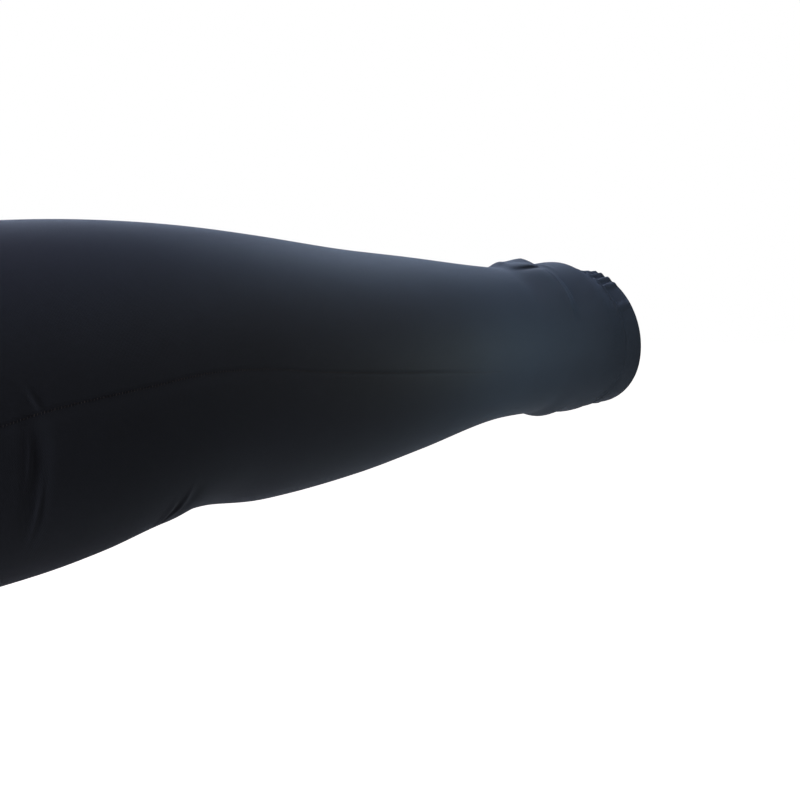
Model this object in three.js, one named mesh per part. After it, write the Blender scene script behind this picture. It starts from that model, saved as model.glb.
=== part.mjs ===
// Arm sleeve of smooth stretch knit with a gathered elastic wrist cuff, in the form it takes when worn.
// Millimetres. The origin is the middle of the wrist opening, +X points out of that opening, +Z is up,
// and the sleeve runs towards -X.
// A place on the sleeve is "at", the distance from the wrist edge, and "around", an angle in degrees:
// 0 is the outer side (-Y), 90 the top, 180 the inner side and -90 the underside.
import * as THREE from 'three';
import { LoftGeometry } from 'three/addons/geometries/LoftGeometry.js';

// Sizes of the cloth
const SLEEVE_LENGTH = 410;
const KNIT_WALL = 1.2;
const HEM_WIDTH = 20;
const HEM_WALL = 2 * KNIT_WALL;
const CUFF_WIDTH = 12;
const CUFF_WALL = 2.2;
const CUFF_ROUNDING = 0.8;
const PIECE_GAP = 0.3;

// Sections along the sleeve: full width and height, how far the middle rises above the wrist opening's,
// and the slant, which is how far the section leans back for each millimetre above its middle.
const SECTIONS = [
  { at: 0, width: 54.2, height: 60.6, rise: -0.4, slant: 0.13 },
  { at: 12, width: 55, height: 60.2, rise: 0.1, slant: 0.13 },
  { at: 40, width: 56, height: 62, rise: 0.2, slant: 0.08 },
  { at: 75, width: 58, height: 65, rise: 0.5, slant: 0 },
  { at: 125, width: 71, height: 79, rise: -1.2, slant: 0 },
  { at: 160, width: 81, height: 88, rise: -2.2, slant: 0 },
  { at: 205, width: 90, height: 98, rise: -1.3, slant: 0 },
  { at: 232, width: 93, height: 101, rise: 0.2, slant: 0 },
  { at: 255, width: 96, height: 106, rise: -0.6, slant: 0 },
  { at: 280, width: 99, height: 113, rise: -3.2, slant: 0 },
  { at: 305, width: 102, height: 117, rise: -5.4, slant: 0 },
  { at: 360, width: 104, height: 119, rise: -9, slant: 0 },
  { at: SLEEVE_LENGTH, width: 104, height: 116, rise: -12, slant: 0 },
];

// Folds that run round the sleeve. A fold stands "height" proud, or lies that deep where it is negative.
// It fades over "before" towards the wrist edge, over "after" towards the upper edge, and over "reach"
// degrees to either side of "around". "drift" slides it along the sleeve for each degree round.
const FOLDS = [
  { name: 'wrist puff', at: 25, before: 13, after: 27, around: 0, reach: Infinity, drift: 0, height: 1 },
  { name: 'puff on top', at: 25, before: 13, after: 30, around: 92, reach: 80, drift: 0, height: 2.5 },
  { name: 'puff below', at: 29, before: 16, after: 14, around: -85, reach: 50, drift: 0, height: 1 },
  { name: 'bulge below', at: 43.5, before: 10, after: 9, around: -88, reach: 50, drift: 0, height: 2 },
  { name: 'pinch', at: 61.5, before: 27, after: 6.8, around: 94, reach: 19, drift: 0, height: 2.7 },
  { name: 'pinch peak', at: 46, before: 9, after: 15, around: 95, reach: 15, drift: 0, height: 2.8 },
  { name: 'pinch rim', at: 55, before: 16, after: 15, around: 80, reach: 8, drift: 0, height: 1.2 },
  { name: 'pinch skirt', at: 53, before: 14, after: 18, around: 72, reach: 28, drift: 0, height: 1.6 },
  { name: 'ring step', at: 48.5, before: 8, after: 20, around: 50, reach: 42, drift: 0, height: 2.3 },
  { name: 'ring crease behind', at: 44, before: 6, after: 7, around: 190, reach: 90, drift: 0, height: -1 },
  { name: 'elbow hollow', at: 242, before: 34, after: 12, around: -76, reach: 40, drift: 0, height: -1.3 },
  { name: 'elbow ridge', at: 262, before: 5, after: 5, around: -52, reach: 18, drift: 0, height: 0.5 },
  { name: 'upper crease', at: 327, before: 7, after: 7, around: -18, reach: 34, drift: 0.08, height: -0.6 },
];

// The lengthwise seam lies in a soft valley, with its place round the sleeve and its depth by distance.
const SEAM_HALF_WIDTH = 13;
const SEAM = [
  { at: 0, around: -30, depth: 0 },
  { at: 106, around: -10.7, depth: 0 },
  { at: 147, around: -3.3, depth: 0.1 },
  { at: 193, around: 0.8, depth: 0.2 },
  { at: 259, around: 4.8, depth: 0.3 },
  { at: 322, around: 3.4, depth: 0.5 },
  { at: 345, around: 0.5, depth: 0.5 },
  { at: SLEEVE_LENGTH, around: -6, depth: 0.5 },
];

// Gathers of the elastic cuff: the angle where each starts at the wrist edge, its half width in degrees and
// its height. The outer side has few and uneven ones, set one by one.
const OUTER_GATHERS = [
  { around: 79, reach: 3.4, height: 0.65 },
  { around: 72.5, reach: 3.4, height: 0.8 },
  { around: 64, reach: 3.6, height: 0.8 },
  { around: 56, reach: 4.5, height: 0.7 },
  { around: 33, reach: 6, height: 0.3 },
  { around: 6, reach: 9, height: 0.12 },
  { around: -22, reach: 9, height: 0.1 },
  { around: -50, reach: 7, height: 0.15 },
];

// The others follow each other closely from the top round the inner side. Their angle wanders and their
// height varies in waves, whose phase goes on by so many radians from one gather to the next.
const INNER_GATHERS = { count: 26, start: 87, pitch: 7.5, reach: 3.5, height: 0.6 };
const WANDER = { degrees: 1.4, phase: 2.4 };
const UNEVENNESS = { height: 0.15, phase: 5 };

// A gather leans this many degrees round for each millimetre, and flattens towards the wrist edge
const GATHER_LEAN = -0.45;
const GATHER_EDGE = 3;

// Rings of facets along the body: close together where the folds are
const BODY_SPANS = [
  { to: 78, step: 3 },
  { to: 248, step: 14 },
  { to: 284, step: 4 },
  { to: SLEEVE_LENGTH - HEM_WIDTH, step: 15 },
  { to: SLEEVE_LENGTH, step: 10 },
];

// Columns of facets: close together over the pinch on top of the body, and evenly round the cuff
const CUFF_COLUMNS = 160;
const COLUMN_SPANS = [
  { to: 70, step: 10 },
  { to: 110, step: 4 },
  { to: 360, step: 10 },
];

// The cuff's rounded band: up its outer face to the line where it meets the body, and back inside
const CUFF_BACK = CUFF_WIDTH - PIECE_GAP / 2;
const CUFF_EDGE = 2;
const CUFF_SHOULDER = 2.5;
const CUFF_LOOP = [
  { at: 0, depth: CUFF_ROUNDING },
  { at: CUFF_EDGE, depth: 0 },
  { at: CUFF_BACK - CUFF_SHOULDER, depth: 0 },
  { at: CUFF_BACK, depth: CUFF_ROUNDING / 2 },
  { at: CUFF_BACK, depth: CUFF_WALL },
  { at: CUFF_EDGE, depth: CUFF_WALL },
  { at: 0, depth: CUFF_WALL - CUFF_ROUNDING },
];

// A smooth curve through the named columns of a table, by distance from the wrist edge
function columnsOf(table, names) {
  const places = table.map((row) => row.at);
  const values = table.flatMap((row) => names.map((name) => row[name]));
  const curve = new THREE.CubicInterpolant(places, values, names.length);
  return (at) => [...curve.evaluate(at)];
}

const sectionAt = columnsOf(SECTIONS, ['width', 'height', 'rise', 'slant']);
const seamAt = columnsOf(SEAM, ['around', 'depth']);

// 1 in the middle of a bump, falling smoothly to 0 at a share of 1 from it
function fade(share) {
  return Math.abs(share) < 1 ? Math.cos((share * Math.PI) / 2) ** 2 : 0;
}

// The shorter way round from one angle to another
function turn(from, to) {
  return THREE.MathUtils.euclideanModulo(to - from + 180, 360) - 180;
}

function foldHeight(fold, at, around) {
  const aside = turn(fold.around, around);
  const along = at - fold.at - fold.drift * aside;
  const halfWidth = along < 0 ? fold.before : fold.after;
  return fold.height * fade(along / halfWidth) * fade(aside / fold.reach);
}

function seamHeight(at, around, girthRadius) {
  const [seamAround, depth] = seamAt(at);
  const across = THREE.MathUtils.degToRad(turn(seamAround, around)) * girthRadius;
  return -depth * fade(across / SEAM_HALF_WIDTH);
}

// A point of the sleeve, "depth" under its outer face and raised by "lift"
function skinPoint(at, around, depth, lift) {
  const [width, height, rise, slant] = sectionAt(at);
  const angle = THREE.MathUtils.degToRad(around);
  const z = (height / 2 - depth + lift) * Math.sin(angle);
  const y = -(width / 2 - depth + lift) * Math.cos(angle);
  return new THREE.Vector3(-at - slant * z, y, rise + z);
}

function bodyLift(at, around) {
  const [width, height] = sectionAt(at);
  const folds = FOLDS.reduce((sum, fold) => sum + foldHeight(fold, at, around), 0);
  return folds + seamHeight(at, around, (width + height) / 4);
}

// Places after a start, evenly spaced within each span
function stepsAlong(start, spans) {
  const places = [start];
  for (const span of spans) {
    const from = places.at(-1);
    const steps = Math.ceil((span.to - from) / span.step);
    for (let step = 1; step <= steps; step += 1) {
      places.push(from + ((span.to - from) * step) / steps);
    }
  }
  return places;
}

const bodyAngles = stepsAlong(0, COLUMN_SPANS).slice(0, -1);

function bodyRing(at, depth) {
  return bodyAngles.map((around) => skinPoint(at, around, depth, bodyLift(at, around)));
}

const innerGathers = Array.from({ length: INNER_GATHERS.count }, (_, k) => ({
  around: INNER_GATHERS.start + INNER_GATHERS.pitch * k + WANDER.degrees * Math.sin(WANDER.phase * k),
  reach: INNER_GATHERS.reach,
  height: INNER_GATHERS.height + UNEVENNESS.height * Math.sin(UNEVENNESS.phase * k),
}));
const gathers = [...OUTER_GATHERS, ...innerGathers];

function gatherHeight(at, around) {
  const flattened = fade(THREE.MathUtils.clamp(1 - at / GATHER_EDGE, 0, 1));
  const heights = gathers.map((gather) => {
    const aside = turn(gather.around + GATHER_LEAN * at, around);
    return gather.height * fade(aside / gather.reach);
  });
  return flattened * heights.reduce((sum, height) => sum + height, 0);
}

function cuffRing({ at, depth }) {
  return Array.from({ length: CUFF_COLUMNS }, (_, column) => {
    const around = (360 * column) / CUFF_COLUMNS;
    return skinPoint(at, around, depth, gatherHeight(at, around));
  });
}

// The wall goes up the outside and down the inside; the turned hem doubles it at the upper edge
function bodyRings() {
  const places = stepsAlong(CUFF_WIDTH + PIECE_GAP / 2, BODY_SPANS);
  const hemStart = SLEEVE_LENGTH - HEM_WIDTH;
  const outside = places.map((at) => bodyRing(at, 0));
  const inside = places.map((at) => bodyRing(at, at > hemStart ? HEM_WALL : KNIT_WALL));
  return [...outside, ...inside.reverse()];
}

// A closed tube wall through rings that come back to the first one
function wallGeometry(rings) {
  return new LoftGeometry([...rings, rings[0]]);
}

const navyKnit = new THREE.MeshStandardMaterial({ color: 0x1f2631, roughness: 0.85, metalness: 0 });
const navyElastic = new THREE.MeshStandardMaterial({ color: 0x1c222c, roughness: 0.9, metalness: 0 });

function piece(name, rings, material) {
  const mesh = new THREE.Mesh(wallGeometry(rings), material);
  mesh.name = name;
  return mesh;
}

const armSleeve = new THREE.Group();
armSleeve.add(piece('sleeve_body', bodyRings(), navyKnit));
armSleeve.add(piece('wrist_cuff', CUFF_LOOP.map(cuffRing), navyElastic));

export default armSleeve;
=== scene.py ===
"""Looks of a worn arm sleeve: a tube of stretch knit with a lengthwise seam and a gathered elastic cuff.

Tables are in millimetres and degrees. A place on the sleeve is "at", the distance from the wrist edge,
and "around": 0 is the outer side (-Y), 90 the top, 180 the inner side and -90 the underside.
"""

import math
from typing import NamedTuple

import bmesh
import bpy
import numpy as np
from mathutils import Euler, Matrix, Vector


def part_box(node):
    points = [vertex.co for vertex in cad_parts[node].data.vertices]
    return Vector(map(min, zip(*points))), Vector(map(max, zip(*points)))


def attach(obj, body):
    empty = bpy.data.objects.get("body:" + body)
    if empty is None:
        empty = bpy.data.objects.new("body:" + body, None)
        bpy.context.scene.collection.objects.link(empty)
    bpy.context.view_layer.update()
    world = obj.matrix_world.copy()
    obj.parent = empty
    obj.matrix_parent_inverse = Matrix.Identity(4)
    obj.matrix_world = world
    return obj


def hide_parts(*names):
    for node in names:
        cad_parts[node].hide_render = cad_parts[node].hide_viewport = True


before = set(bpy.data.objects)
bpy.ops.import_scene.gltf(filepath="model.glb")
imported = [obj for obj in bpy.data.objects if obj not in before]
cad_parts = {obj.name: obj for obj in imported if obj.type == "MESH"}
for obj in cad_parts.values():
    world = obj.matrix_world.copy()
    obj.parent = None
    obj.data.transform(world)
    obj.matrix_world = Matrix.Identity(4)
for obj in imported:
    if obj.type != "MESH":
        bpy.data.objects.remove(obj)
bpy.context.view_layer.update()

bl_info = {
    "name": "Arm Sleeve",
    "version": (1, 0, 0),
    "blender": (4, 5, 0),
    "location": "3D View > Sidebar > Sleeve",
    "description": "Builds a worn knit arm sleeve with a gathered elastic cuff over its packed frame",
    "category": "Object",
}

MM = 0.001
SLEEVE_LENGTH = -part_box("sleeve_body")[0].x / MM


class Section(NamedTuple):
    """A section across the sleeve: its full width and height, its middle's rise, and its backward slant."""

    at: float
    width: float
    height: float
    rise: float
    slant: float


SECTIONS = (
    Section(at=0, width=54.2, height=60.6, rise=-0.4, slant=0.13),
    Section(at=12, width=55, height=60.2, rise=0.1, slant=0.13),
    Section(at=40, width=56, height=62, rise=0.2, slant=0.08),
    Section(at=75, width=58, height=65, rise=0.5, slant=0),
    Section(at=125, width=71, height=79, rise=-1.2, slant=0),
    Section(at=160, width=81, height=88, rise=-2.2, slant=0),
    Section(at=205, width=90, height=98, rise=-1.3, slant=0),
    Section(at=232, width=93, height=101, rise=0.2, slant=0),
    Section(at=255, width=96, height=106, rise=-0.6, slant=0),
    Section(at=280, width=99, height=113, rise=-3.2, slant=0),
    Section(at=305, width=102, height=117, rise=-5.4, slant=0),
    Section(at=360, width=104, height=119, rise=-9, slant=0),
    Section(at=SLEEVE_LENGTH, width=104, height=116, rise=-12, slant=0),
)


class Fold(NamedTuple):
    """A fold that stands "height" proud, or lies that deep, and fades before and after it along the sleeve.

    It reaches that many degrees to either side of "around". Drift slides it along the sleeve for each degree
    round, and lean tips it over sideways by that many degrees.
    """

    name: str
    at: float
    before: float
    after: float
    around: float
    reach: float
    height: float
    drift: float = 0
    lean: float = 0


FOLDS = (
    Fold("wrist puff", at=25, before=13, after=27, around=0, reach=math.inf, height=1),
    Fold("puff on top", at=25, before=13, after=30, around=92, reach=80, height=2.5),
    Fold("puff below", at=29, before=16, after=14, around=-85, reach=50, height=1),
    Fold("bulge below", at=43.5, before=10, after=9, around=-88, reach=50, height=2),
    Fold("pinch", at=61.5, before=27, after=6.8, around=94, reach=19, height=2.7),
    Fold("pinch peak", at=46, before=9, after=15, around=95, reach=15, height=2.8),
    Fold("pinch rim", at=55, before=16, after=15, around=80, reach=8, height=1.2, lean=-5),
    Fold("pinch skirt", at=53, before=14, after=18, around=72, reach=28, height=1.6),
    Fold("pinch undercut", at=53, before=11, after=14, around=72, reach=6, height=-0.6),
    Fold("ring step", at=48.5, before=8, after=20, around=50, reach=42, height=2.3),
    Fold("ring crest", at=46.8, before=1.5, after=1.6, around=58, reach=52, height=0.45),
    Fold("ring second crest", at=43, before=1.5, after=1.5, around=60, reach=44, height=0.45),
    Fold("ring third ridge", at=37.5, before=2, after=2, around=80, reach=18, height=0.3),
    Fold("ring crease behind", at=44, before=6, after=7, around=190, reach=90, height=-1),
    Fold("lip crease", at=17.5, before=0.9, after=1.6, around=-51, reach=13, height=0.45, drift=-0.45),
    Fold("crease below", at=40.4, before=1, after=1.6, around=-66, reach=8, height=0.4, drift=-0.65),
    Fold("elbow hollow", at=242, before=34, after=12, around=-76, reach=40, height=-1.3),
    Fold("elbow soft ridge", at=264.1, before=2, after=2.8, around=-53, reach=15, height=0.5),
    Fold("elbow groove", at=261.4, before=1.3, after=1.5, around=-57, reach=15, height=-0.4),
    Fold("elbow sharp ridge", at=259.2, before=1.5, after=1.3, around=-49, reach=14, height=0.6),
    Fold("elbow dimple", at=255.8, before=4, after=2.6, around=-47, reach=12, height=-0.25),
    Fold("upper crease", at=327, before=7, after=7, around=-18, reach=34, height=-0.6, drift=0.08),
    Fold("upper stroke", at=330, before=1.3, after=1.7, around=-11, reach=13, height=0.35),
    Fold("upper low stroke", at=324.4, before=1.3, after=1.7, around=-28, reach=17, height=0.4, drift=0.03),
    Fold("upper top stroke", at=328, before=1.3, after=1.7, around=7, reach=6, height=0.3, drift=0.6),
)

# Folds at least this broad, in degrees round and in millimetres along, also show on the inside
BROAD_REACH = 15
BROAD_LENGTH = 6
INNER_FOLDS = [fold for fold in FOLDS if fold.reach >= BROAD_REACH and fold.before >= BROAD_LENGTH]


class SeamPlace(NamedTuple):
    """Where the lengthwise seam runs, with the depths of its soft valley and its stitched groove.

    A valley of negative depth is a ridge. The groove spreads that far below the seam.
    """

    at: float
    around: float
    valley: float
    groove: float
    spread: float


SEAM = (
    SeamPlace(at=0, around=-30, valley=0, groove=0, spread=1.2),
    SeamPlace(at=85, around=-14.6, valley=0, groove=0, spread=1.2),
    SeamPlace(at=106, around=-10.7, valley=-0.1, groove=0.05, spread=1.2),
    SeamPlace(at=127, around=-6.7, valley=-0.2, groove=0.15, spread=1.1),
    SeamPlace(at=147, around=-3.3, valley=-0.4, groove=0.3, spread=1),
    SeamPlace(at=171, around=-0.8, valley=-0.5, groove=0.3, spread=1),
    SeamPlace(at=193, around=0.8, valley=-0.4, groove=0.25, spread=1.2),
    SeamPlace(at=232, around=3, valley=0, groove=0.15, spread=3),
    SeamPlace(at=259, around=4.8, valley=0, groove=0.3, spread=4.5),
    SeamPlace(at=284, around=4.7, valley=0, groove=0.38, spread=5),
    SeamPlace(at=322, around=3.4, valley=0.2, groove=0.35, spread=5),
    SeamPlace(at=345, around=0.5, valley=0.2, groove=0.35, spread=5),
    SeamPlace(at=SLEEVE_LENGTH, around=-6, valley=0.2, groove=0.35, spread=5),
)
SEAM_VALLEY_HALF_WIDTH = 13
SEAM_GROOVE_HALF_WIDTH = 1.3

# The allowance sewn down along the seam's inside
SEAM_INSIDE_HALF_WIDTH = 5
SEAM_INSIDE_HEIGHT = 1.2


class Arc(NamedTuple):
    """A height in the middle of an arc round the sleeve, and the degrees in which it fades either way."""

    around: float
    reach: float
    height: float


# The cuff's gathers on the outer side are few and uneven, and set one by one
OUTER_GATHERS = (
    Arc(around=79, reach=3.2, height=1.5),
    Arc(around=72.5, reach=3.4, height=1.7),
    Arc(around=64, reach=3.8, height=1.7),
    Arc(around=56, reach=3.8, height=1.4),
    Arc(around=34, reach=4.5, height=0.8),
    Arc(around=6, reach=9, height=0.15),
    Arc(around=-22, reach=9, height=0.12),
    Arc(around=-50, reach=7, height=0.2),
)

# Those of the inner side follow each other closely. Their angle wanders and their height varies in waves,
# whose phase goes on by so many radians from one gather to the next.
INNER_GATHER_COUNT = 26
INNER_GATHER_START = 87
INNER_GATHER_PITCH = 7.5
INNER_GATHER_REACH = 3.5
INNER_GATHER_HEIGHT = 0.75
WANDER_DEGREES = 1.4
WANDER_PHASE = 2.4
UNEVEN_HEIGHT = 0.2
UNEVEN_PHASE = 5
INNER_GATHERS = tuple(
    Arc(
        around=INNER_GATHER_START + INNER_GATHER_PITCH * k + WANDER_DEGREES * math.sin(WANDER_PHASE * k),
        reach=INNER_GATHER_REACH,
        height=INNER_GATHER_HEIGHT + UNEVEN_HEIGHT * math.sin(UNEVEN_PHASE * k),
    )
    for k in range(INNER_GATHER_COUNT)
)
GATHERS = OUTER_GATHERS + INNER_GATHERS

# A gather leans this many degrees round for each millimetre, and flattens towards the wrist edge
GATHER_LEAN = -0.45
GATHER_EDGE = 3


class Span(NamedTuple):
    """Rows or columns of faces a step apart as far as a distance or an angle."""

    to: float
    step: float


# Rows of faces up the knit's outside and down its inside, and columns round it from the seam
OUTER_SPANS = (
    Span(to=80, step=0.65),
    Span(to=246, step=2.5),
    Span(to=272, step=0.65),
    Span(to=316, step=2),
    Span(to=336, step=0.75),
    Span(to=SLEEVE_LENGTH - 1.5, step=3),
)
INNER_SPANS = (
    Span(to=284, step=8),
    Span(to=240, step=3),
    Span(to=80, step=10),
    Span(to=14.5, step=3),
)
COLUMN_SPANS = (
    Span(to=2, step=0.25),
    Span(to=6, step=0.6),
    Span(to=16, step=1.4),
    Span(to=88, step=2.4),
    Span(to=130, step=0.9),
    Span(to=344, step=2.6),
    Span(to=354, step=1.4),
    Span(to=358, step=0.6),
    Span(to=360, step=0.25),
)


class EdgeRow(NamedTuple):
    """A row of a turned edge: its distance from the wrist edge and its depth under the outer face."""

    at: float
    depth: float


# The lip of the knit over the cuff, from the inside round its edge and over its bead to the outer face
LIP_ROWS = (
    EdgeRow(at=14, depth=1.2),
    EdgeRow(at=12.6, depth=1.15),
    EdgeRow(at=11.9, depth=0.95),
    EdgeRow(at=11.6, depth=0.7),
    EdgeRow(at=11.5, depth=0.45),
    EdgeRow(at=11.6, depth=0.2),
    EdgeRow(at=11.9, depth=0),
    EdgeRow(at=12.3, depth=-0.5),
    EdgeRow(at=12.8, depth=-0.7),
    EdgeRow(at=13.3, depth=-0.5),
    EdgeRow(at=13.9, depth=-0.15),
    EdgeRow(at=14.5, depth=0),
)

# Where round the sleeve the lip's bead stands out
LIP_BEADS = (
    Arc(around=88, reach=105, height=1),
    Arc(around=-62, reach=42, height=0.9),
)

# The turned hem at the upper edge, from the outer face round to the end of the turned-in cloth
HEM_ROWS = (
    EdgeRow(at=SLEEVE_LENGTH - 0.7, depth=0.15),
    EdgeRow(at=SLEEVE_LENGTH - 0.2, depth=0.5),
    EdgeRow(at=SLEEVE_LENGTH, depth=1.05),
    EdgeRow(at=SLEEVE_LENGTH - 0.2, depth=1.6),
    EdgeRow(at=SLEEVE_LENGTH - 0.7, depth=1.95),
    EdgeRow(at=SLEEVE_LENGTH - 1.5, depth=2.1),
    EdgeRow(at=SLEEVE_LENGTH - 8, depth=2.1),
    EdgeRow(at=SLEEVE_LENGTH - 14, depth=2.1),
    EdgeRow(at=SLEEVE_LENGTH - 19, depth=2.1),
    EdgeRow(at=SLEEVE_LENGTH - 19.7, depth=1.9),
    EdgeRow(at=SLEEVE_LENGTH - 20, depth=1.5),
)

# How deep the knit's inside lies under its outer face
INNER_DEPTH = 1.0

# The cuff's band of faces, how far it stands out beyond the knit's face, and how far it lies back by
# the lip's bead
CUFF_COLUMNS = 480
CUFF_LOOP_ROWS = 28
CUFF_PROUD = 0.08
CUFF_RECESS = 0.6

# How the band's section is rounded along and through it, from 0 for square to 1 for an ellipse
CUFF_EDGE_ROUNDNESS = 0.6
CUFF_FACE_ROUNDNESS = 0.7

# Where the cuff is wider, and the length past the lip over which the knit gives way to it
CUFF_WIDENINGS = (
    Arc(around=100, reach=90, height=2.3),
    Arc(around=-80, reach=90, height=2.3),
    Arc(around=-92, reach=42, height=4),
)
WIDENING_LENGTH = 22

# Puckers where the cuff draws the knit in: their length past the lip, and their share of the gathers' height
PUCKER_LENGTH = 9
PUCKER_SHARE = 0.25

# Two rows of stitches hold the hem, with so many stitch lengths from one stitch to the next in a row.
# Finer ones bridge the lengthwise seam.
HEM_STITCH_ROWS = (SLEEVE_LENGTH - 18.5, SLEEVE_LENGTH - 14.5)
HEM_STITCH_SPACING = 1.3
SEAM_STITCH_START = 98
SEAM_STITCH_END = SLEEVE_LENGTH - 22
SEAM_STITCH_PITCH = 1.2

# A stitch is a spindle with this many sides and rings. It takes its direction from two points of the knit,
# this many degrees to either side of its middle.
STITCH_SIDES = 6
STITCH_RINGS = 5
STITCH_REACH = 0.5

# Columns of loops round the knit, and rows of loops in each metre along it
KNIT_WALES = 420
KNIT_COURSES = 1900

# How much lighter the light strands of the sewing thread are than its dark ones
STRAND_CONTRAST = 1.6

# The camera's place and direction, and the focal length that gives the picture's perspective
CAMERA_PLACE = Vector((-0.5988, -0.4741, 0.0545))
CAMERA_AZIMUTH = math.radians(-45)
CAMERA_ELEVATION = math.radians(6.3)
CAMERA_LENS = 75.24
CAMERA_SENSOR = 36

# The floor, in metres
FLOOR_RADIUS = 6
FLOOR_SIDES = 96
FLOOR_HEIGHT = -0.45


class Lamp(NamedTuple):
    """A square soft light: the point that it faces and its distance from there, its size, watts and colour.

    Azimuth turns to the right from the way that the camera looks, and elevation rises from the level.
    Lengths are in metres.
    """

    name: str
    facing: tuple
    azimuth: float
    elevation: float
    distance: float
    size: float
    power: float
    colour: tuple


# Points that several lamps face: the sleeve's middle, and the top of its lower half
SLEEVE_MIDDLE = (-0.18, 0, 0)
LOWER_TOP = (-0.13, 0, 0.03)

LAMPS = (
    Lamp(
        "wrist_glow", facing=(-0.072, -0.028, 0),
        azimuth=135, elevation=0, distance=0.055,
        size=0.045, power=0.026, colour=(0.8, 1, 1),
    ),
    Lamp(
        "wrist_low_fill", facing=(-0.061, -0.028, 0),
        azimuth=125, elevation=-10, distance=0.1,
        size=0.06, power=0.031, colour=(1, 0.95, 0.72),
    ),
    Lamp(
        "left_high", facing=SLEEVE_MIDDLE,
        azimuth=-90, elevation=65, distance=1.5,
        size=0.8, power=9.2, colour=(0.81, 0.74, 1),
    ),
    Lamp(
        "front_left", facing=SLEEVE_MIDDLE,
        azimuth=-135, elevation=0, distance=1.5,
        size=0.8, power=60, colour=(1, 0.82, 0.7),
    ),
    Lamp(
        "right_high", facing=LOWER_TOP,
        azimuth=90, elevation=35, distance=0.25,
        size=0.12, power=0.09, colour=(1, 0.91, 0.85),
    ),
    Lamp(
        "above_wrist", facing=(-0.155, 0, 0.04),
        azimuth=60, elevation=45, distance=0.2,
        size=0.1, power=0.103, colour=(0.59, 0.8, 1),
    ),
    Lamp(
        "back_high", facing=(-0.05, 0, 0.03),
        azimuth=0, elevation=40, distance=0.3,
        size=0.15, power=0.42, colour=(0.63, 0.77, 1),
    ),
    Lamp(
        "back_left", facing=LOWER_TOP,
        azimuth=-30, elevation=25, distance=0.35,
        size=0.2, power=0.46, colour=(0.62, 0.75, 1),
    ),
    Lamp(
        "low_right", facing=SLEEVE_MIDDLE,
        azimuth=45, elevation=-45, distance=0.42,
        size=0.3, power=0.144, colour=(0.76, 0.88, 1),
    ),
    Lamp(
        "low_back", facing=SLEEVE_MIDDLE,
        azimuth=0, elevation=-20, distance=0.42,
        size=0.3, power=0.2, colour=(0.69, 0.83, 1),
    ),
)

# The even light from all round
AMBIENT_STRENGTH = 0.1


class SleeveSizes(bpy.types.PropertyGroup):
    """Sizes of the sleeve's cloth and stitching."""

    cuff_width: bpy.props.FloatProperty(
        name="Cuff width", description="Width of the elastic cuff", default=13.4 * MM, unit="LENGTH"
    )
    cuff_thickness: bpy.props.FloatProperty(
        name="Cuff thickness", description="Knit, elastic and knit together", default=2.2 * MM, unit="LENGTH"
    )
    gather_height: bpy.props.FloatProperty(
        name="Gather height",
        description="How far a gather of height 1 stands out",
        default=0.8 * MM,
        unit="LENGTH",
    )
    stitch_length: bpy.props.FloatProperty(
        name="Stitch length", description="Length of a hem stitch", default=2.4 * MM, unit="LENGTH"
    )
    thread: bpy.props.FloatProperty(
        name="Thread", description="Diameter of the hem's thread", default=0.35 * MM, unit="LENGTH"
    )
    seam_stitch_length: bpy.props.FloatProperty(
        name="Seam stitch length", description="Length of a seam stitch", default=0.8 * MM, unit="LENGTH"
    )
    seam_thread: bpy.props.FloatProperty(
        name="Seam thread", description="Diameter of the seam's thread", default=0.175 * MM, unit="LENGTH"
    )


class SleeveFinish(bpy.types.PropertyGroup):
    """Colours of the sleeve and its stage."""

    knit: bpy.props.FloatVectorProperty(
        name="Knit",
        description="Colour of the knit",
        default=(0.0099, 0.015, 0.0258),
        subtype="COLOR",
        size=3,
    )
    knit_light: bpy.props.FloatVectorProperty(
        name="Knit, light",
        description="Lighter loops of the knit",
        default=(0.0176, 0.026, 0.0436),
        subtype="COLOR",
        size=3,
    )
    elastic: bpy.props.FloatVectorProperty(
        name="Elastic",
        description="Colour of the gathered cuff",
        default=(0.0133, 0.0198, 0.0336),
        subtype="COLOR",
        size=3,
    )
    thread: bpy.props.FloatVectorProperty(
        name="Thread",
        description="Colour of the sewing thread",
        default=(0.0095, 0.0135, 0.022),
        subtype="COLOR",
        size=3,
    )
    ambient: bpy.props.FloatVectorProperty(
        name="Ambient",
        description="Colour of the even light",
        default=(1.0, 0.8, 0.74),
        subtype="COLOR",
        size=3,
    )
    floor: bpy.props.FloatVectorProperty(
        name="Floor",
        description="Colour of the floor",
        default=(0.9, 0.9, 0.9),
        subtype="COLOR",
        size=3,
    )


def smooth_column(table, column, at):
    """A column's value at each distance, on a smooth curve through the table's rows."""
    places = np.array([row.at for row in table], float)
    values = np.array([getattr(row, column) for row in table], float)
    slopes = np.diff(values) / np.diff(places)
    tangents = np.concatenate(([slopes[0]], (slopes[:-1] + slopes[1:]) / 2, [slopes[-1]]))
    i = np.clip(np.searchsorted(places, at) - 1, 0, len(places) - 2)
    span = places[i + 1] - places[i]
    t = (at - places[i]) / span
    start = (1 + 2 * t) * (1 - t) ** 2 * values[i] + t * (1 - t) ** 2 * span * tangents[i]
    end = t**2 * (3 - 2 * t) * values[i + 1] + t**2 * (t - 1) * span * tangents[i + 1]
    return start + end


def fade(share):
    """1 in the middle of a bump, falling smoothly to 0 at a share of 1 from it."""
    return np.cos(np.clip(share, -1, 1) * math.pi / 2) ** 2


def turn(start, end):
    """The shorter way round from one angle to another, in degrees."""
    return (end - start + 180) % 360 - 180


def fold_weight(fold, at, around):
    """How much of a fold there is at each place, from 0 to 1."""
    aside = turn(fold.around, around)
    along = at - fold.at - fold.drift * aside
    half_width = np.where(along < 0, fold.before, fold.after)
    return fade(along / half_width) * fade(aside / fold.reach)


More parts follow.
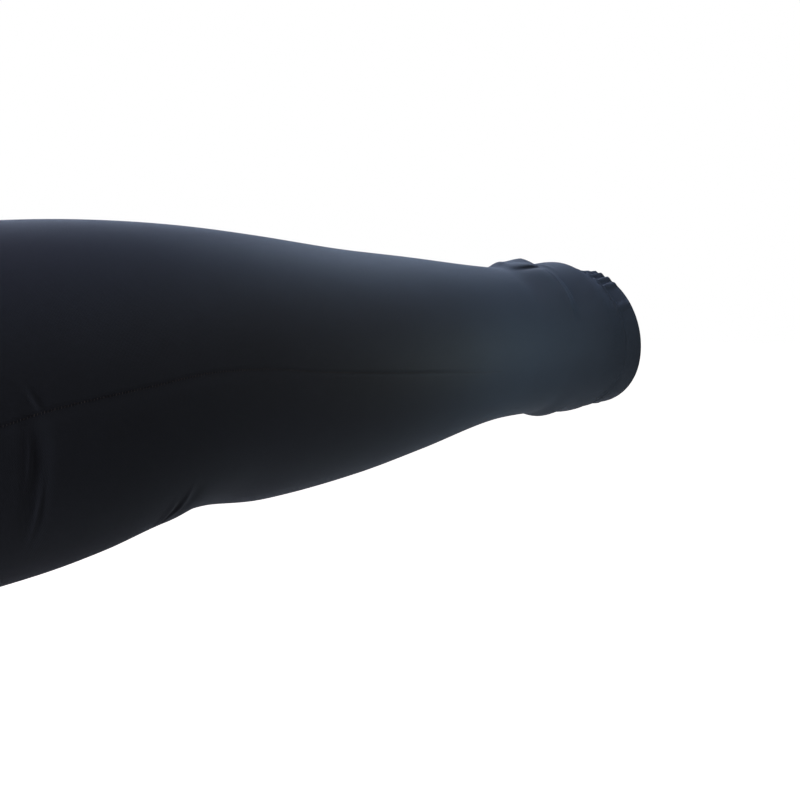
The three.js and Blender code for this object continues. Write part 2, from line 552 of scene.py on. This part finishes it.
def girth_radius(at):
    """Mean radius of the section at each distance."""
    return (smooth_column(SECTIONS, "width", at) + smooth_column(SECTIONS, "height", at)) / 4


def seam_lift(at, around):
    """The height that the seam's soft valley or ridge and its stitched groove give each place."""
    across = np.radians(turn(smooth_column(SEAM, "around", at), around)) * girth_radius(at)
    valley = smooth_column(SEAM, "valley", at) * fade(across / SEAM_VALLEY_HALF_WIDTH)
    half_width = np.where(across < 0, smooth_column(SEAM, "spread", at), SEAM_GROOVE_HALF_WIDTH)
    groove = smooth_column(SEAM, "groove", at) * fade(across / half_width)
    return -valley - groove


def lobe(share):
    """1 in the middle of a rounded rib, falling to a sharp crease at a share of 1 from it."""
    return np.cos(np.clip(share, -1, 1) * math.pi / 2)


def arcs_height(arcs, around, profile=fade):
    """The heights of arcs added together at each angle."""
    return sum(arc.height * profile(turn(arc.around, around) / arc.reach) for arc in arcs)


def gather_lift(at, around):
    """How far the gathers stand proud at each place, as they lean round away from the wrist edge."""
    return arcs_height(GATHERS, around - GATHER_LEAN * at, lobe)


def pucker_lift(at, around):
    """Small puckers where the gathered cuff draws the knit in."""
    return PUCKER_SHARE * gather_lift(at, around) * fade((at - LIP_ROWS[0].at) / PUCKER_LENGTH)


def knit_lift(at, around):
    """How far the knit stands out, and how many degrees its folds tip it round, at each place."""
    lift = seam_lift(at, around) + pucker_lift(at, around)
    tip = np.zeros_like(lift)
    for fold in FOLDS:
        weight = fold_weight(fold, at, around)
        lift = lift + fold.height * weight
        tip = tip + fold.lean * weight
    return lift, tip


def inner_lift(at, around):
    """How far the inside stands out: it follows the broad folds and swells over the seam's inside."""
    across = np.radians(turn(smooth_column(SEAM, "around", at), around)) * girth_radius(at)
    lift = -smooth_column(SEAM, "valley", at) * fade(across / SEAM_VALLEY_HALF_WIDTH)
    lift = lift - SEAM_INSIDE_HEIGHT * fade(across / SEAM_INSIDE_HALF_WIDTH)
    for fold in INNER_FOLDS:
        lift = lift + fold.height * fold_weight(fold, at, around)
    return lift


def skin(at, around, depth, lift):
    """Points of the sleeve in metres, under its outer face by depth and raised by lift."""
    half_width = smooth_column(SECTIONS, "width", at) / 2 - depth + lift
    half_height = smooth_column(SECTIONS, "height", at) / 2 - depth + lift
    angle = np.radians(around)
    z = half_height * np.sin(angle)
    x = -at - smooth_column(SECTIONS, "slant", at) * z
    y = -half_width * np.cos(angle)
    return np.stack([x, y, smooth_column(SECTIONS, "rise", at) + z], axis=-1) * MM


def steps_along(start, spans):
    """Places after a start, evenly spaced within each span."""
    places = []
    for span in spans:
        count = math.ceil(abs(span.to - start) / span.step)
        places += [start + (span.to - start) * (k + 1) / count for k in range(count)]
        start = span.to
    return places


def rolled_grid(at, around, places):
    """A grid whose vertices go to places[row, column], joined at its sides and at its first and last rows.

    Its UV map gives the share of the way round and the distance along the sleeve, for the knit to follow.
    """
    rows, columns = at.shape[0] - 1, at.shape[1] - 1
    bm = bmesh.new()
    weave = bm.loops.layers.uv.new("weave")
    bmesh.ops.create_grid(bm, x_segments=columns, y_segments=rows, size=1)
    spots = {v: (round((v.co.y + 1) / 2 * rows), round((v.co.x + 1) / 2 * columns)) for v in bm.verts}
    for face in bm.faces:
        for loop in face.loops:
            spot = spots[loop.vert]
            loop[weave].uv = (around[spot] / 360, at[spot] * MM)
    for v, spot in spots.items():
        v.co = places[spot]
    bmesh.ops.remove_doubles(bm, verts=bm.verts, dist=0.001 * MM)
    bmesh.ops.recalc_face_normals(bm, faces=bm.faces)
    return bm


def finish_piece(name, bm, material, slot, *nodes):
    """Makes a smooth object of a bmesh, riding on the one body and standing for the CAD nodes."""
    mesh = bpy.data.meshes.new(name)
    bm.to_mesh(mesh)
    bm.free()
    mesh.polygons.foreach_set("use_smooth", [True] * len(mesh.polygons))
    mesh.materials.append(material)
    piece = bpy.data.objects.new(name, mesh)
    bpy.context.scene.collection.objects.link(piece)
    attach(piece, "root")
    if nodes:
        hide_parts(*nodes)
    return piece


class NodeChain:
    """Adds and links shader nodes of one material."""

    def __init__(self, name):
        self.material = bpy.data.materials.new(name)
        self.material.use_nodes = True
        self.tree = self.material.node_tree
        self.shader = self.tree.nodes["Principled BSDF"]

    def node(self, kind, **settings):
        made = self.tree.nodes.new(kind)
        for key, value in settings.items():
            setattr(made, key, value)
        return made

    def put(self, socket, value):
        if isinstance(value, bpy.types.NodeSocket):
            self.tree.links.new(value, socket)
        else:
            socket.default_value = value

    def math(self, operation, first, second=0.0):
        made = self.node("ShaderNodeMath", operation=operation)
        self.put(made.inputs[0], first)
        self.put(made.inputs[1], second)
        return made.outputs[0]

    def noise(self, vector, scale, detail):
        made = self.node("ShaderNodeTexNoise")
        self.put(made.inputs["Vector"], vector)
        made.inputs["Scale"].default_value = scale
        made.inputs["Detail"].default_value = detail
        return made.outputs["Fac"]

    def mix_colour(self, factor, first, second):
        made = self.node("ShaderNodeMix", data_type="RGBA")
        self.put(made.inputs["Factor"], factor)
        self.put(made.inputs["A"], (*first, 1))
        self.put(made.inputs["B"], (*second, 1))
        return made.outputs["Result"]

    def bump(self, height, strength, distance):
        made = self.node("ShaderNodeBump")
        made.inputs["Strength"].default_value = strength
        made.inputs["Distance"].default_value = distance
        self.put(made.inputs["Height"], height)
        return made.outputs["Normal"]


def knit_material(name, dark, light):
    """A matt jersey knit of small chevron loops, slightly mottled, with a soft sheen at its rim."""
    chain = NodeChain(name)
    weave = chain.node("ShaderNodeUVMap", uv_map="weave").outputs["UV"]
    axes = chain.node("ShaderNodeSeparateXYZ")
    chain.put(axes.inputs[0], weave)
    wale = chain.math("MULTIPLY", axes.outputs["X"], KNIT_WALES)
    course = chain.math("MULTIPLY", axes.outputs["Y"], KNIT_COURSES)
    leg = chain.math("PINGPONG", wale, 0.5)
    chevron = chain.math("ADD", course, leg)
    loop = chain.math("SINE", chain.math("MULTIPLY", chevron, 2 * math.pi))
    rib = chain.math("SINE", chain.math("MULTIPLY", leg, 2 * math.pi))
    relief = chain.math("ADD", chain.math("MULTIPLY", loop, 0.5), rib)
    place = chain.node("ShaderNodeTexCoord").outputs["Object"]
    mottle = chain.noise(place, scale=45, detail=3)
    fibre = chain.noise(place, scale=2600, detail=2)
    tone = chain.math("ADD", chain.math("MULTIPLY", mottle, 0.5), chain.math("MULTIPLY", fibre, 0.5))
    chain.put(chain.shader.inputs["Base Color"], chain.mix_colour(tone, dark, light))
    chain.put(chain.shader.inputs["Normal"], chain.bump(relief, strength=0.25, distance=0.1 * MM))
    chain.shader.inputs["Roughness"].default_value = 0.65
    chain.shader.inputs["Specular IOR Level"].default_value = 0.2
    chain.shader.inputs["Sheen Weight"].default_value = 0.1
    chain.shader.inputs["Sheen Roughness"].default_value = 0.5
    chain.shader.inputs["Sheen Tint"].default_value = (0.5, 0.68, 1.0, 1)
    return chain.material


def thread_material(name, colour):
    """Twisted sewing thread with a faint gloss."""
    chain = NodeChain(name)
    place = chain.node("ShaderNodeTexCoord").outputs["Object"]
    strand = chain.noise(place, scale=3500, detail=1)
    lighter = tuple(STRAND_CONTRAST * channel for channel in colour)
    chain.put(chain.shader.inputs["Base Color"], chain.mix_colour(strand, colour, lighter))
    chain.put(chain.shader.inputs["Normal"], chain.bump(strand, strength=0.3, distance=0.05 * MM))
    chain.shader.inputs["Roughness"].default_value = 0.55
    chain.shader.inputs["Sheen Weight"].default_value = 0.1
    return chain.material


class SLEEVE_OT_knit_body(bpy.types.Operator):
    """Roll a knit panel into the sleeve's tube, with its folds, seam and turned hem"""

    bl_idname = "sleeve.knit_body"
    bl_label = "Knit body"

    def execute(self, context):
        finish = context.scene.sleeve_finish
        outer = [EdgeRow(place, 0) for place in steps_along(LIP_ROWS[-1].at, OUTER_SPANS)]
        inner = [EdgeRow(place, INNER_DEPTH) for place in steps_along(HEM_ROWS[-1].at, INNER_SPANS)]
        rows = [*LIP_ROWS, *outer, *HEM_ROWS, *inner, LIP_ROWS[0]]
        from_seam = np.array([0, *steps_along(0, COLUMN_SPANS)])[None, :]
        at = np.array([row.at for row in rows])[:, None] + 0 * from_seam
        depth = np.array([row.depth for row in rows])[:, None] + 0 * from_seam
        around = smooth_column(SEAM, "around", at) + from_seam
        past_lip = np.clip((at - LIP_ROWS[-1].at) / WIDENING_LENGTH, 0, 1)
        at = at + arcs_height(CUFF_WIDENINGS, around) * fade(past_lip)
        depth = np.where(depth < 0, depth * arcs_height(LIP_BEADS, around), depth)
        lift, tip = knit_lift(at, around)
        inside = slice(len(rows) - 1 - len(inner), len(rows) - 1)
        lift[inside], tip[inside] = inner_lift(at[inside], around[inside]), 0
        bm = rolled_grid(at, from_seam + 0 * at, skin(at, around + tip, depth, lift))
        material = knit_material("navy_knit", finish.knit, finish.knit_light)
        body = finish_piece("sleeve_knit", bm, material, "knit", "sleeve_body")
        return {"FINISHED"}


def rounded(share, roundness):
    """A share from -1 to 1, brought nearer to its ends so that a circle drawn with it turns squarer."""
    return np.sign(share) * np.abs(share) ** roundness


def cuff_places(sizes):
    """The cuff's band: distances, angles and points, going round its rounded section row by row."""
    around = np.linspace(0, 360, CUFF_COLUMNS + 1)[None, :]
    loop = np.linspace(0, 2 * math.pi, CUFF_LOOP_ROWS + 1)[:, None]
    half_width, half_thick = sizes.cuff_width / MM / 2, sizes.cuff_thickness / MM / 2
    at = half_width * (1 - rounded(np.cos(loop), CUFF_EDGE_ROUNDNESS)) + 0 * around
    around = around + 0 * loop
    at = at * (1 + arcs_height(CUFF_WIDENINGS, around) / (2 * half_width))
    depth = half_thick * (1 - rounded(np.sin(loop), CUFF_FACE_ROUNDNESS))
    depth = depth - CUFF_PROUD + CUFF_RECESS * arcs_height(LIP_BEADS, around)
    gathers = gather_lift(at, around) * fade(np.clip(1 - at / GATHER_EDGE, 0, 1))
    lift = sizes.gather_height / MM * gathers
    return at, around, skin(at, around, depth, lift)


class SLEEVE_OT_wrist_cuff(bpy.types.Operator):
    """Form the elastic cuff, gathered all the way round"""

    bl_idname = "sleeve.wrist_cuff"
    bl_label = "Wrist cuff"

    def execute(self, context):
        sizes, finish = context.scene.sleeve_sizes, context.scene.sleeve_finish
        at, around, places = cuff_places(sizes)
        bm = rolled_grid(at, around, places)
        material = knit_material("navy_elastic", finish.elastic, finish.knit_light)
        finish_piece("cuff_gathers", bm, material, "elastic", "wrist_cuff")
        return {"FINISHED"}


def stitch_matrix(at, around, length, thread):
    """Place, direction and size of one stitch that lies on the knit across the sleeve."""
    ends = []
    for aside in (-STITCH_REACH, STITCH_REACH):
        place_at, place_around = np.array(at), np.array(around + aside)
        lift, _ = knit_lift(place_at, place_around)
        ends.append(Vector(skin(place_at, place_around, 0.0, lift)))
    middle = (ends[0] + ends[1]) / 2
    run = (ends[1] - ends[0]).normalized()
    out = Vector((0, middle.y, middle.z)).normalized()
    side = run.cross(out).normalized()
    out = side.cross(run)
    turned = Matrix((run, side, out)).transposed().to_4x4()
    return Matrix.Translation(middle) @ turned @ Matrix.Diagonal((length / 2, thread / 2, thread / 2, 1))


def sew(bm, at, around, length, thread):
    """Adds one stitch to a bmesh."""
    matrix = stitch_matrix(at, around, length, thread)
    bmesh.ops.create_uvsphere(
        bm, u_segments=STITCH_SIDES, v_segments=STITCH_RINGS, radius=1, matrix=matrix
    )


class SLEEVE_OT_stitching(bpy.types.Operator):
    """Sew the twin rows of the upper hem and the threads that bridge the lengthwise seam"""

    bl_idname = "sleeve.stitching"
    bl_label = "Stitching"

    def execute(self, context):
        sizes, finish = context.scene.sleeve_sizes, context.scene.sleeve_finish
        material = thread_material("navy_thread", finish.thread)
        bm = bmesh.new()
        pitch = HEM_STITCH_SPACING * sizes.stitch_length / MM
        for at in HEM_STITCH_ROWS:
            count = round(2 * math.pi * float(girth_radius(np.array(at))) / pitch)
            for k in range(count):
                sew(bm, at, 360 * k / count, sizes.stitch_length, sizes.thread)
        finish_piece("hem_stitches", bm, material, "knit")
        bm = bmesh.new()
        for at in np.arange(SEAM_STITCH_START, SEAM_STITCH_END, SEAM_STITCH_PITCH):
            around = float(smooth_column(SEAM, "around", np.array(at)))
            sew(bm, at, around, sizes.seam_stitch_length, sizes.seam_thread)
        finish_piece("seam_stitches", bm, material, "knit")
        return {"FINISHED"}


def hang(lamp):
    """Makes a lamp's light, which doesn't show itself."""
    light = bpy.data.lights.new(lamp.name, "AREA")
    light.energy = lamp.power
    light.size = lamp.size
    light.color = lamp.colour
    direction = Euler((math.radians(lamp.elevation), 0, CAMERA_AZIMUTH - math.radians(lamp.azimuth)))
    away = direction.to_matrix() @ Vector((0, lamp.distance, 0))
    holder = bpy.data.objects.new(lamp.name, light)
    holder.location = Vector(lamp.facing) + away
    holder.rotation_euler = (-away).to_track_quat("-Z", "Y").to_euler()
    holder.visible_camera = False
    bpy.context.scene.collection.objects.link(holder)


def studio_world(ambient, strength):
    """White surroundings that give an even, dimmer light of their own colour."""
    world = bpy.data.worlds.new("studio")
    bpy.context.scene.world = world
    world.use_nodes = True
    tree = world.node_tree
    backdrop = tree.nodes["Background"]
    backdrop.inputs["Color"].default_value = (1, 1, 1, 1)
    backdrop.inputs["Strength"].default_value = 1.0
    glow = tree.nodes.new("ShaderNodeBackground")
    glow.inputs["Color"].default_value = (*ambient, 1)
    glow.inputs["Strength"].default_value = strength
    seen = tree.nodes.new("ShaderNodeLightPath")
    mix = tree.nodes.new("ShaderNodeMixShader")
    tree.links.new(seen.outputs["Is Camera Ray"], mix.inputs["Fac"])
    tree.links.new(glow.outputs["Background"], mix.inputs[1])
    tree.links.new(backdrop.outputs["Background"], mix.inputs[2])
    tree.links.new(mix.outputs["Shader"], tree.nodes["World Output"].inputs["Surface"])


class SLEEVE_OT_stage(bpy.types.Operator):
    """Set up the floor, the soft light and the camera"""

    bl_idname = "sleeve.stage"
    bl_label = "Stage"

    def execute(self, context):
        finish = context.scene.sleeve_finish
        context.scene.view_settings.view_transform = "Standard"
        bm = bmesh.new()
        level = Matrix.Translation((0, 0, FLOOR_HEIGHT))
        bmesh.ops.create_circle(bm, cap_ends=True, radius=FLOOR_RADIUS, segments=FLOOR_SIDES, matrix=level)
        mesh = bpy.data.meshes.new("floor")
        bm.to_mesh(mesh)
        bm.free()
        floor_chain = NodeChain("pale_floor")
        floor_chain.shader.inputs["Base Color"].default_value = (*finish.floor, 1)
        floor_chain.shader.inputs["Roughness"].default_value = 0.9
        floor_chain.shader.inputs["Emission Color"].default_value = (1, 1, 1, 1)
        floor_chain.shader.inputs["Emission Strength"].default_value = 1
        mesh.materials.append(floor_chain.material)
        floor = bpy.data.objects.new("floor", mesh)
        context.scene.collection.objects.link(floor)
        floor.visible_diffuse = False
        floor.visible_glossy = False
        studio_world(finish.ambient, AMBIENT_STRENGTH)
        for lamp in LAMPS:
            hang(lamp)
        camera = bpy.data.objects.new("camera", bpy.data.cameras.new("camera"))
        camera.data.lens = CAMERA_LENS
        camera.data.sensor_width = CAMERA_SENSOR
        camera.location = CAMERA_PLACE
        camera.rotation_euler = (math.pi / 2 - CAMERA_ELEVATION, 0, CAMERA_AZIMUTH)
        context.scene.collection.objects.link(camera)
        context.scene.camera = camera
        return {"FINISHED"}


class SLEEVE_PT_panel(bpy.types.Panel):
    """Lists the sleeve's sizes, colours and building steps"""

    bl_idname = "SLEEVE_PT_panel"
    bl_label = "Arm Sleeve"
    bl_space_type = "VIEW_3D"
    bl_region_type = "UI"
    bl_category = "Sleeve"

    def draw(self, context):
        for group in (context.scene.sleeve_sizes, context.scene.sleeve_finish):
            for key in group.bl_rna.properties.keys():
                if key not in ("rna_type", "name"):
                    self.layout.prop(group, key)
        for operator in OPERATORS:
            self.layout.operator(operator.bl_idname)


OPERATORS = (SLEEVE_OT_knit_body, SLEEVE_OT_wrist_cuff, SLEEVE_OT_stitching, SLEEVE_OT_stage)
CLASSES = (SleeveSizes, SleeveFinish, *OPERATORS, SLEEVE_PT_panel)


def register():
    for cls in CLASSES:
        bpy.utils.register_class(cls)
    bpy.types.Scene.sleeve_sizes = bpy.props.PointerProperty(type=SleeveSizes)
    bpy.types.Scene.sleeve_finish = bpy.props.PointerProperty(type=SleeveFinish)


def unregister():
    del bpy.types.Scene.sleeve_finish
    del bpy.types.Scene.sleeve_sizes
    for cls in reversed(CLASSES):
        bpy.utils.unregister_class(cls)


def main():
    register()
    bpy.ops.sleeve.knit_body()
    bpy.ops.sleeve.wrist_cuff()
    bpy.ops.sleeve.stitching()
    bpy.ops.sleeve.stage()


if __name__ == "__main__":
    main()
